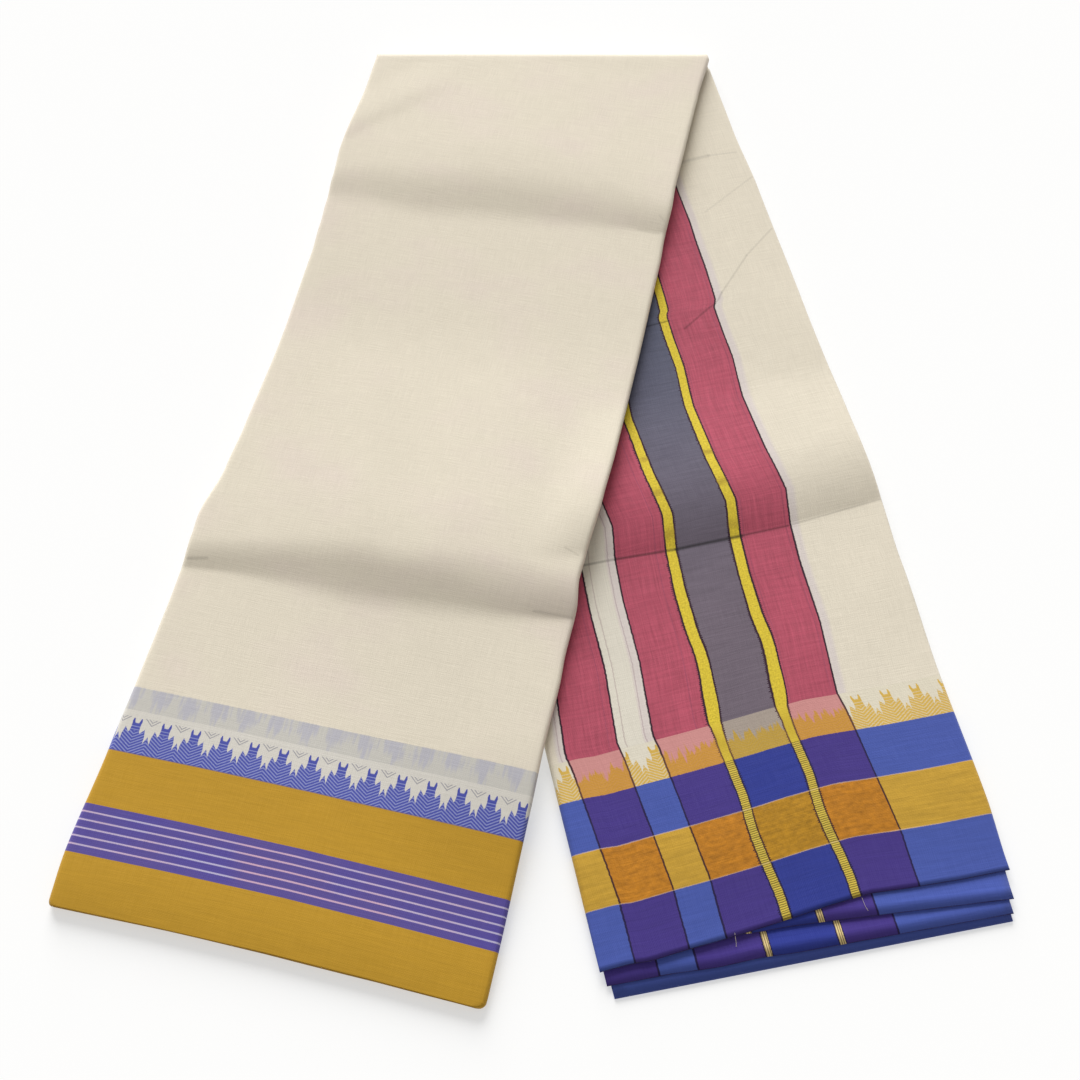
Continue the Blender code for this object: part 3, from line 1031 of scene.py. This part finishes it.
# Ivory cotton with the gold, purple and blue temple border at one selvedge, and the plain back border at the
# other
def makeFrontCotton(name):
    material, tree, surface, cloth, along, away = startMaterial(name, 0.88, 0.12)
    threads = useGroup(tree, weave, Cloth=cloth)
    shade = {kind: colour(*value) for kind, value in frontShades.items()}
    up = plus(tree, away, swing(tree, threads["Shade"], 0.0003))
    blush = remap(tree, threads["Slow"], 0.45, 0.75, 0.0, 0.8)
    ivory = mixColour(tree, blush, shade["ivory"], shade["blush"])
    base = layColours(tree, up, shade["gold"], (
        (frontBands["goldLow"], shade["purple"]),
        (frontBands["purple"], shade["gold"]),
        (frontBands["goldHigh"], shade["templeGround"]),
        (frontBands["temple"], shade["ghostGround"]),
        (frontBands["ghost"], ivory),
    ))
    # pale lines in the purple band
    inPurple = within(tree, up, frontBands["goldLow"], frontBands["purple"])
    bluer = times(tree, inPurple, remap(tree, threads["Slow"], 0.42, 0.62, 0.0, 0.4))
    base = mixColour(tree, bluer, base, shade["bluer"])
    lines = times(tree, size(tree, turnOf(tree, minus(tree, frontBands["purple"], up), frontBands["lines"])),
                  frontBands["lines"])
    lines = under(tree, lines, frontBands["lineHalf"])
    lines = times(tree, lines, within(tree, up, frontBands["goldLow"] + 0.002, frontBands["purple"] - 0.002))
    lineShade = mixColour(tree, remap(tree, threads["Slow"], 0.4, 0.6), shade["pinkLine"], shade["blueLine"])
    base = mixColour(tree, lines, base, lineShade)
    # temple towers, the marks between them and the faint blocks above
    towers = useGroup(tree, temple, Along=minus(tree, along, frontBands["phase"]),
                      Height=minus(tree, up, frontBands["goldHigh"]))
    base = mixColour(tree, times(tree, towers["Between"], 0.75), base, shade["mark"])
    body = mixColour(tree, times(tree, towers["Lines"], 0.72), shade["tower"], shade["towerLine"])
    base = mixColour(tree, towers["Body"], base, body)
    foot = within(tree, up, frontBands["goldHigh"] - 0.0003, frontBands["goldHigh"] + 0.0004, 0.0003)
    base = mixColour(tree, times(tree, foot, 0.55), base, shade["foot"])
    inGhost = within(tree, up, frontBands["temple"], frontBands["ghost"], 0.0006)
    base = mixColour(tree, times(tree, towers["Blocks"], inGhost, 0.8), base, shade["block"])
    # painted shade along the small folds and at the creases' ends
    for row in paintedFrontFoldShade:
        base = toned(tree, base, inverse(tree, paintedShadeOn(tree, cloth, "front", row)))
    # the other selvedge
    other = borderColour(tree, along, times(tree, up, -1.0))
    base = mixColour(tree, under(tree, away, -0.0001, 0.0001), base, other)
    inGold = times(tree, within(tree, up, 0.0, frontBands["goldHigh"]), inverse(tree, inPurple))
    brushed = swing(tree, threads["Streak"], plus(tree, times(tree, inGold, 0.14), 0.03))
    fine = swing(tree, threads["Shade"], 0.22)
    slow = swing(tree, threads["Slow"], 0.08)
    base = toned(tree, base, plus(tree, 1.0, brushed, fine, slow))
    feed(tree, surface["Base Color"], base)
    feed(tree, surface["Roughness"], remap(tree, threads["Shade"], 0.3, 0.7, 0.92, 0.8))
    bumpFrom(tree, surface, threads["Height"], 0.00022)
    return material


# Where the yellow stripes wander, in metres from the selvedge: from, to and softness, then how far. The
# stepped layers have single values
yellowStripes = {
    "centres": (-0.0344, -0.07365),
    "wander": ((0.110, 0.160, 0.014, 0.0022), (0.022, 0.060, 0.014, -0.0024)),
    # on the stepped layers the tone is also raised, as painted light against the shade of the layers above
    # them
    "stepped": {"stretch": 0.9, "wander": 0.0042, "paintedLightLift": 1.22},
    "ribPitch": 0.00118,
}
stripeShades = {
    "bluerGrey": (82, 88, 110),
    "thinLine": (120, 64, 92),
    "dullYellow": (180, 146, 44),
    # painted shade where small folds cross the yellow stripes
    "paintedShadeYellow": (150, 120, 40),
    # the dark end of the cloth, partly its darker selvedge and partly painted shade under it
    "edge": (44, 30, 84),
    "cream": (222, 200, 146),
    "rib": (86, 66, 28),
}


# The stripes with the back border. The stepped layers show other parts of the weave next to their selvedge,
# and are brightened as painted light against the shade of the layers above
def makeStripedCotton(name, stepped=False):
    material, tree, surface, cloth, along, away = startMaterial(name, 0.85, 0.15)
    threads = useGroup(tree, weave, Cloth=cloth)
    tints = {kind: colour(*value) for kind, value in stripeShades.items()}
    shade, slub, patches = threads["Shade"], threads["Slub"], threads["Slow"]
    up = minus(tree, swing(tree, shade, 0.0009), away)
    across = plus(tree, along, swing(tree, slub, 0.0016))
    # the yellow stripes widen towards the border, are narrower in it and wander a little
    if stepped:
        stretch, wander = (yellowStripes["stepped"][kind] for kind in ("stretch", "wander"))
    else:
        stretch = plus(tree, remap(tree, up, 0.15, 0.33, -0.10, 0.20, smooth=False),
                       times(tree, within(tree, up, 0.118, 0.136, 0.007), -0.10),
                       times(tree, under(tree, up, 0.110, 0.008), 0.36))
        wander = plus(tree, *[times(tree, within(tree, up, low, high, soft), amount)
                              for low, high, soft, amount in yellowStripes["wander"]])
    for centre in yellowStripes["centres"]:
        off = minus(tree, across, centre)
        near = falling(tree, size(tree, off), 0.0050, 0.0110)
        moved = minus(tree, times(tree, minus(tree, off, wander), stretch), wander)
        across = plus(tree, across, times(tree, moved, near))
    masks = useGroup(tree, stripeMasks, Across=across, Up=up, Ragged=slub)
    base = borderColour(tree, along, up, masks)
    plain = past(tree, up, borderBands["temple"])
    # the grey is bluer towards the turn
    offLines = inverse(tree, masks["Line"])
    bluer = times(tree, masks["Grey"], offLines, remap(tree, up, 0.16, 0.40, 0.0, 0.90))
    base = mixColour(tree, bluer, base, tints["bluerGrey"])
    base = mixColour(tree, times(tree, masks["Thin"], plain, 0.35), base, tints["thinLine"])
    # the yellow is duller where it widens, and the cloth is dark along its end: partly its darker selvedge,
    # partly painted shade under it
    dull = times(tree, masks["Yellow"], within(tree, up, 0.094, 0.110, 0.008), 0.45)
    base = mixColour(tree, dull, base, tints["dullYellow"])
    base = mixColour(tree, under(tree, up, 0.0006, 0.0003), base, tints["edge"])
    # dark ribs on the yellow of the border, crosswise, and lengthwise on the stepped layers
    inRibs = times(tree, masks["Yellow"], offLines, under(tree, up, borderBands["blueAgain"]))
    ribs = size(tree, turnOf(tree, along if stepped else up, yellowStripes["ribPitch"]))
    ribs = times(tree, falling(tree, ribs, 0.12, 0.30), inRibs)
    if stepped:
        base = mixColour(tree, inRibs, base, tints["cream"])
    base = mixColour(tree, times(tree, ribs, 0.72), base, tints["rib"])
    dyed = largest(tree, masks["Pink"], masks["Grey"])
    mottle = stretchedNoise(tree, cloth, (230, 420, 1), 2.0, 0.6)
    mottle = plus(tree, 0.5, swing(tree, mottle, plus(tree, 0.25, times(tree, dyed, 0.75))))
    # slubs run along the pink and across the grey, and the yellow is grainy
    lengthwise = stretchedNoise(tree, cloth, (820, 36, 1), 2.0, 0.6)
    crosswise = stretchedNoise(tree, cloth, (40, 560, 1), 2.0, 0.6)
    grain = stretchedNoise(tree, cloth, (900, 900, 1), 1.0, 0.5)
    uneven = plus(tree, swing(tree, lengthwise, masks["Pink"], 0.62),
                  swing(tree, crosswise, dyed, 0.42),
                  swing(tree, grain, masks["Yellow"], 0.75))
    tone = plus(tree, 1.0, times(tree, uneven, plain), swing(tree, shade, 0.22),
                swing(tree, slub, plain, 0.14),
                swing(tree, patches, plus(tree, 0.12, times(tree, masks["Pink"], plain, 0.22))))
    tone = times(tree, tone, borderTone(tree, up, threads["Streak"], mottle))
    # the stepped layers' tone is raised as painted light, making up for the shade that the layers above cast
    base = toned(tree, base, times(tree, tone, yellowStripes["stepped"]["paintedLightLift"]) if stepped else tone)
    # painted shade along the small folds and the crease of the back leg
    for row in () if stepped else paintedBackFoldShade:
        base = toned(tree, base, inverse(tree, paintedShadeOn(tree, cloth, "back", row)))
    # painted shade: darker olive patches where small folds cross the yellow stripes
    for row in () if stepped else paintedYellowFoldShade:
        mark = times(tree, paintedShadeOn(tree, cloth, "back", row), masks["Yellow"])
        base = mixColour(tree, mark, base, tints["paintedShadeYellow"])
    feed(tree, surface["Base Color"], base)
    feed(tree, surface["Roughness"], remap(tree, shade, 0.3, 0.7, 0.9, 0.72))
    bumpFrom(tree, surface, minus(tree, threads["Height"], times(tree, ribs, 0.8)), 0.00022)
    return material


ivoryCotton = makeFrontCotton("ivoryCotton")
stripedCotton = makeStripedCotton("stripedCotton")
# the stepped layers' copy, brightened as painted light
stepCotton = makeStripedCotton("stepCotton", stepped=True)
print("materials made")


def widthAt(row):
    zone, place = row
    left, right = edgesOf("front", 1.0) if zone == "turn" else edgesOf(zone, place)
    return (right - left).length


# How far the layer ends at the back leg pass its straight end line, by share from the left, in millimetres,
# and their insets at left and right. Only the panel's end bows.
ends = {
    "bottom": {
        "reach": ((0.0, 13.9), (1.0, 25.8)),
        "inset": (0.0043, 0.0074),
        "bow": 0.0,
    },
    "lower": {
        "reach": ((0.0, 7.2), (0.16, 9.2), (0.27, 11.8), (0.37, 12.2), (0.45, 14.2), (0.6, 16.4),
                  (1.0, 22.4)),
        "inset": (0.0020, 0.0061),
        "bow": 0.0,
    },
    "upper": {
        "reach": ((0.0, -3.0), (0.30, -3.0), (0.37, -0.6), (0.45, 0.5), (0.53, 2.4), (0.77, 9.0),
                  (1.0, 15.3)),
        "inset": (0.0034, 0.0034),
        "bow": 0.0,
    },
    "panel": {
        "reach": ((0.0, -1.0), (1.0, -1.0)),
        "inset": (0.0006, 0.0006),
        "bow": 1.0,
    },
}


def reachOf(group, across):
    return between(ends[group]["reach"], across) / 1000


# Insets at left and right near the back leg's end, fading to the usual one
def insetsAt(group, place, usual):
    return [usual + (inset - usual) * nearEnd("back", place) for inset in ends[group]["inset"]]


# How far the left and right edge draw in at the front end's corners and round the turn
def drawnIn(row):
    zone, place = row
    if zone == "back":
        return 0.0, 0.0
    if zone == "turn":
        inward = strip["waist"] * math.sin(place)
    else:
        left = max(0.0, strip["corner"] - place * legs["front"]["length"])
        inward = strip["corner"] - math.sqrt(strip["corner"] ** 2 - left**2)
    return inward / 2, inward


def evenColumns(width, insets, count):
    left, right = insets
    return [((left + (width - left - right) * i / count) / width, 0.0) for i in range(count + 1)]


def squeezed(columns, width, left, right):
    return [(left + distance * (width - left - right) / width, fall) for distance, fall in columns]


# The outermost layer: the front leg's top, round the turn and under the back leg, where it ends as the lowest
# step. A lip is how far an edge is turned down
frontCloth = {
    "spacing": 0.003,
    "backSpacing": 0.009,
    "turnRows": 16,
    "inner": 44,
    "lips": (0.0042, 0.0030),
    "turnLip": 0.0012,
    "backLip": 0.0008,
    "inset": 0.0006,
    "thickness": 0.0004,
    "ripple": 0.00028,
}


def frontColumns(row):
    zone, place = row
    if zone == "front":
        lips = frontCloth["lips"]
    elif zone == "turn":
        fade = ease(place / 0.8)
        lips = [lip + (frontCloth["turnLip"] - lip) * fade for lip in frontCloth["lips"]]
    else:
        lips = (frontCloth["backLip"], frontCloth["backLip"])
    width = widthAt(row)
    columns = columnsOf(width, lips, frontCloth["inner"], strip["edgeRound"])
    left, right = insetsAt("bottom", place, frontCloth["inset"]) if zone == "back" else drawnIn(row)
    return [(distance / width, fall) for distance, fall in squeezed(columns, width, left, right)]


def frontSpot(row, across, fall):
    zone, place = row
    reach, bow = (reachOf("bottom", across), 0.0) if zone == "back" else (0.0, 1.0)
    return stripSpot(zone, place, across, 0.0, fall, reach, frontCloth["ripple"], bow)


bm = startPiece()
rows = frontRows(frontCloth["spacing"]) + turnRows(frontCloth["turnRows"])
rows += backRows(frontCloth["backSpacing"])
addLayer(bm, rows, frontColumns, frontSpot)
frontPiece = finishPiece("frontCloth", bm, frontCloth["thickness"], ivoryCotton)
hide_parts("front_panel", "back_bottom")
print("front cloth laid")

# The striped layer on the back leg
backCloth = {"spacing": 0.003, "inner": 44, "lips": (0.0028, 0.0030), "thickness": 0.0004, "ripple": 0.00028}


# Its edges turn down less towards the very end
def backLips(place):
    share = min(1.0, 0.25 + place / 0.08)
    return [lip * share for lip in backCloth["lips"]]


def backColumns(row):
    width = widthAt(row)
    columns = columnsOf(width, backLips(row[1]), backCloth["inner"], strip["edgeRound"])
    return [(distance / width, fall) for distance, fall in columns]


def backSpot(row, across, fall):
    return stripSpot("back", row[1], across, strip["stack"], -fall, 0.0, backCloth["ripple"])


bm = startPiece()
rows = backRows(backCloth["spacing"])[::-1]
addLayer(bm, rows, backColumns, backSpot)
backPiece = finishPiece("backCloth", bm, backCloth["thickness"], stripedCotton)
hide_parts("back_panel")
print("striped cloth laid")

# Two more striped layers whose selvedges peek out below it
steps = (
    {"name": "upperStep", "node": "back_step_upper", "group": "upper", "top": 0.00485, "shift": 0.0260},
    {"name": "lowerStep", "node": "back_step_lower", "group": "lower", "top": 0.00325, "shift": 0.0185},
)
stepCloth = {"spacing": 0.006, "columns": 36, "inset": 0.0012, "thickness": 0.0003, "upTo": 0.97}
for step in steps:
    def stepColumns(row):
        insets = insetsAt(step["group"], row[1], stepCloth["inset"])
        return evenColumns(widthAt(row), insets, stepCloth["columns"])

    def stepSpot(row, across, fall):
        reach = reachOf(step["group"], across)
        return stripSpot("back", row[1], across, step["top"], fall, reach, backCloth["ripple"], 0.0)

    bm = startPiece()
    rows = [row for row in backRows(stepCloth["spacing"])[::-1] if row[1] < stepCloth["upTo"]]
    addLayer(bm, rows, stepColumns, stepSpot, step["shift"])
    piece = finishPiece(step["name"], bm, stepCloth["thickness"], stepCotton)
    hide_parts(step["node"])
print("stepped layers laid")

# The layers between, as folded pairs: depth of each one's outer face and the step that it ends with
folded = {
    "layers": ((0.00050, "bottom"), (0.00115, "bottom"), (0.00180, "lower"), (0.00240, "lower"),
               (0.00335, "upper"), (0.00395, "upper"), (0.00495, "panel"), (0.00550, "panel")),
    "thickness": 0.00048,
    "columns": 26,
    "spacing": 0.008,
    "turnRows": 12,
    "inset": 0.0006,
    "shy": 0.0004,  # they end this far before the layer of their step
}
bm = startPiece()
rows = frontRows(folded["spacing"]) + turnRows(folded["turnRows"]) + backRows(folded["spacing"])
for number, (depth, group) in enumerate(folded["layers"]):
    def tucked(lip, fromTop, along, side):
        radius = strip["edgeRound"]
        if fromTop > lip:
            return 0.0008 + 0.0006 * noise.noise(Vector((along * 14, number * 5.3, side * 3.1)))
        left = max(0.0, radius - fromTop)
        return 0.0007 + radius - math.sqrt(radius**2 - left**2)

    def foldedColumns(row):
        zone, place = row
        insets = []
        for side in (0, 1):
            if zone == "back":
                lip = backLips(place)[side]
                fromTop = strip["stack"] - depth - folded["thickness"]
            else:
                lip = frontCloth["lips"][side] if zone == "front" else frontCloth["turnLip"]
                fromTop = depth
            along = place if zone != "turn" else 1.0
            inset = tucked(lip, fromTop, along, side) + drawnIn(row)[side]
            if zone == "back":
                inset += (ends[group]["inset"][side] - folded["inset"]) * nearEnd("back", place)
            insets.append(inset)
        return evenColumns(widthAt(row), insets, folded["columns"])

    def foldedSpot(row, across, fall):
        zone, place = row
        reach, bow = 0.0, 1.0
        if zone == "back":
            reach, bow = reachOf(group, across) - folded["shy"], ends[group]["bow"]
        elif zone == "front":
            reach = -0.0003 - 0.0005 * noise.noise(Vector((across * 3, number * 4.1, 2.2)))
        return stripSpot(zone, place, across, depth, fall, reach, frontCloth["ripple"], bow)

    addLayer(bm, rows, foldedColumns, foldedSpot)
foldedPiece = finishPiece("foldedLayers", bm, folded["thickness"], ivoryCotton)
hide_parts("front_core", "back_core")
print("inner layers laid")

# Loose ends of thread at the striped panel's edge, from the turn's middle, in millimetres
looseThreads = {
    "radius": 0.0001,
    "colour": (214, 202, 184),
    "paths": (
        ((99.6, -611.0, 4.6), (99.8, -613.7, 4.1), (100.3, -615.7, 3.3), (100.1, -617.8, 2.9)),
        ((168.0, -592.6, 4.5), (168.9, -595.4, 4.0), (169.8, -597.6, 3.6), (170.8, -599.2, 3.5)),
    ),
}
curve = bpy.data.curves.new("looseThreads", "CURVE")
curve.dimensions = "3D"
curve.bevel_depth = looseThreads["radius"]
curve.bevel_resolution = 2
for path in looseThreads["paths"]:
    spline = curve.splines.new("NURBS")
    spline.points.add(len(path) - 1)
    spline.order_u = 3
    spline.use_endpoint_u = True
    for point, (x, y, z) in zip(spline.points, path):
        point.co = (x / 1000 + strip["shift"][0], y / 1000 + strip["shift"][1], z / 1000, 1.0)
threadMaterial = bpy.data.materials.new("looseThread")
threadMaterial.use_nodes = True
threadSurface = threadMaterial.node_tree.nodes["Principled BSDF"].inputs
threadSurface["Base Color"].default_value = colour(*looseThreads["colour"])
threadSurface["Roughness"].default_value = 0.9
curve.materials.append(threadMaterial)
threadPiece = linked("looseThreads", curve)
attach(threadPiece, "root")
print("loose threads laid")

# Floor, light and camera
studio = {
    "floor": 3.0,
    "floorColour": (188, 188, 188),
    "floorDrop": 0.0003,
    "floorGlow": 0.5,
    "glowShade": (0.97, 0.985, 1.0, 1.0),
    "world": 0.40,
    "worldShade": (1.0, 0.96, 0.90, 1.0),
    "key": 4.82,
    "keyAngle": 40,
    "keyShade": (1.0, 0.995, 0.985),
    "keyFrom": (-0.15, 0.99, 0.425),
    "camera": (0.00402, -0.45877, 0.79795),
    "target": (0.00402, -0.05342, 0.0),
    "lens": 50.0,
}
bm = bmesh.new()
bmesh.ops.create_grid(bm, x_segments=2, y_segments=2, size=studio["floor"])
bmesh.ops.translate(bm, verts=bm.verts, vec=(0, 0, -studio["floorDrop"]))
mesh = bpy.data.meshes.new("floor")
bm.to_mesh(mesh)
bm.free()
floorMaterial = bpy.data.materials.new("paleFloor")
floorMaterial.use_nodes = True
floorSurface = floorMaterial.node_tree.nodes["Principled BSDF"].inputs
floorSurface["Base Color"].default_value = colour(*studio["floorColour"])
floorSurface["Roughness"].default_value = 1.0
floorSurface["Specular IOR Level"].default_value = 0.0
floorSurface["Emission Color"].default_value = studio["glowShade"]
floorSurface["Emission Strength"].default_value = studio["floorGlow"]
mesh.materials.append(floorMaterial)
floor = linked("floor", mesh)

world = bpy.data.worlds.new("studioWorld")
world.use_nodes = True
background = world.node_tree.nodes["Background"].inputs
background["Color"].default_value = studio["worldShade"]
background["Strength"].default_value = studio["world"]
bpy.context.scene.world = world
data = bpy.data.lights.new("keyLight", "SUN")
data.energy = studio["key"]
data.angle = math.radians(studio["keyAngle"])
data.color = studio["keyShade"]
keyLight = linked("keyLight", data)
keyLight.rotation_euler = (-Vector(studio["keyFrom"])).to_track_quat("-Z", "Y").to_euler()

data = bpy.data.cameras.new("camera")
data.lens = studio["lens"]
data.sensor_width = 36.0
camera = linked("camera", data)
camera.location = studio["camera"]
aim = Vector(studio["target"]) - Vector(studio["camera"])
camera.rotation_euler = aim.to_track_quat("-Z", "Y").to_euler()
bpy.context.scene.camera = camera
bpy.context.scene.view_settings.view_transform = "Standard"
print("studio set")
